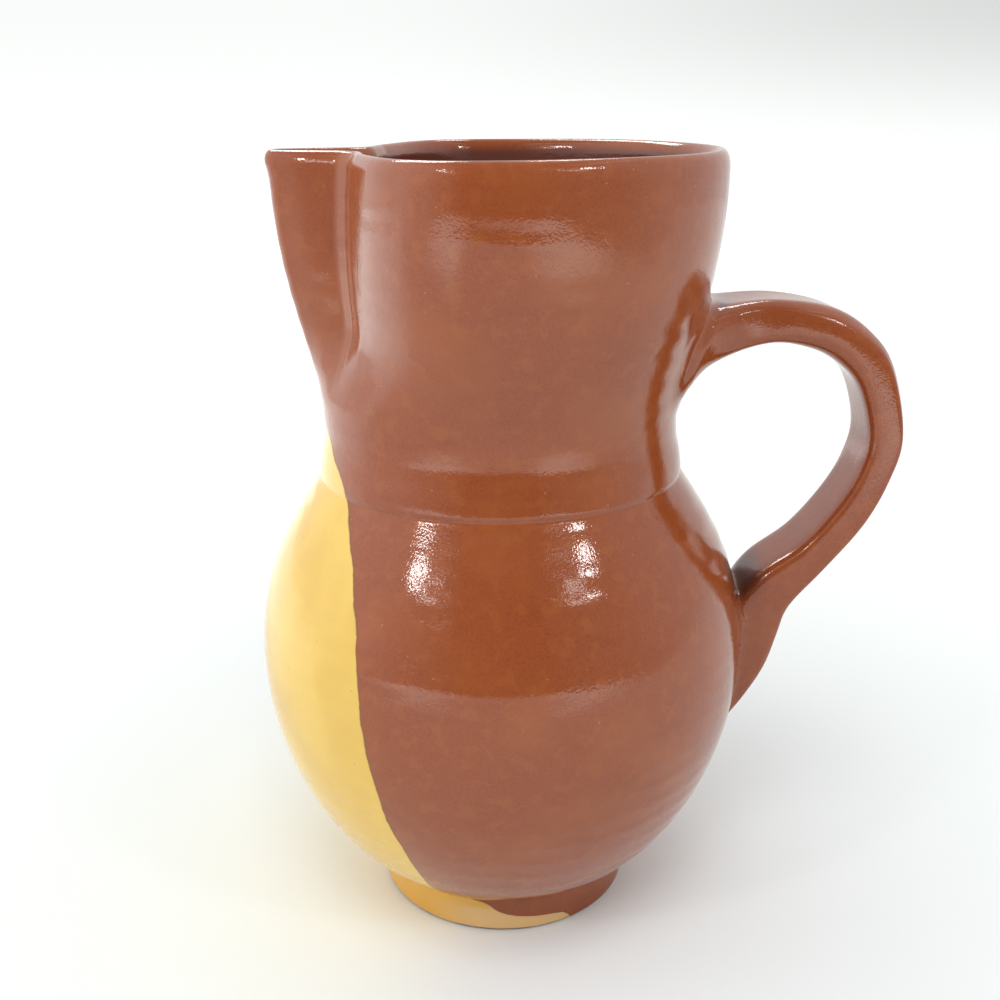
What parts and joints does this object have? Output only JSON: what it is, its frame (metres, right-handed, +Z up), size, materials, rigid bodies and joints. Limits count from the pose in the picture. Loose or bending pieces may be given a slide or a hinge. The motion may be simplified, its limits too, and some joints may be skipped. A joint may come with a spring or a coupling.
{
  "type": "stoneware pitcher",
  "caption": "Round-bellied glazed pitcher with a tall flared neck, a spout pinched out of its rim, a low foot and a strap handle, for holding and pouring drinks.",
  "frame": {"origin": "centre of the flat underside, on the axis that the body was thrown about", "axes": "+Z up along the thrown axis; the spout points along -X and the handle along +X"},
  "size_m": [0.1748, 0.1348, 0.21],
  "materials": {
    "glazed_clay": "very glossy clear glaze over red clay, with a bib of pale yellow slip under the spout"
  },
  "bodies": {
    "root": {"pitcher": "glazed_clay"}
  },
  "joints": []
}
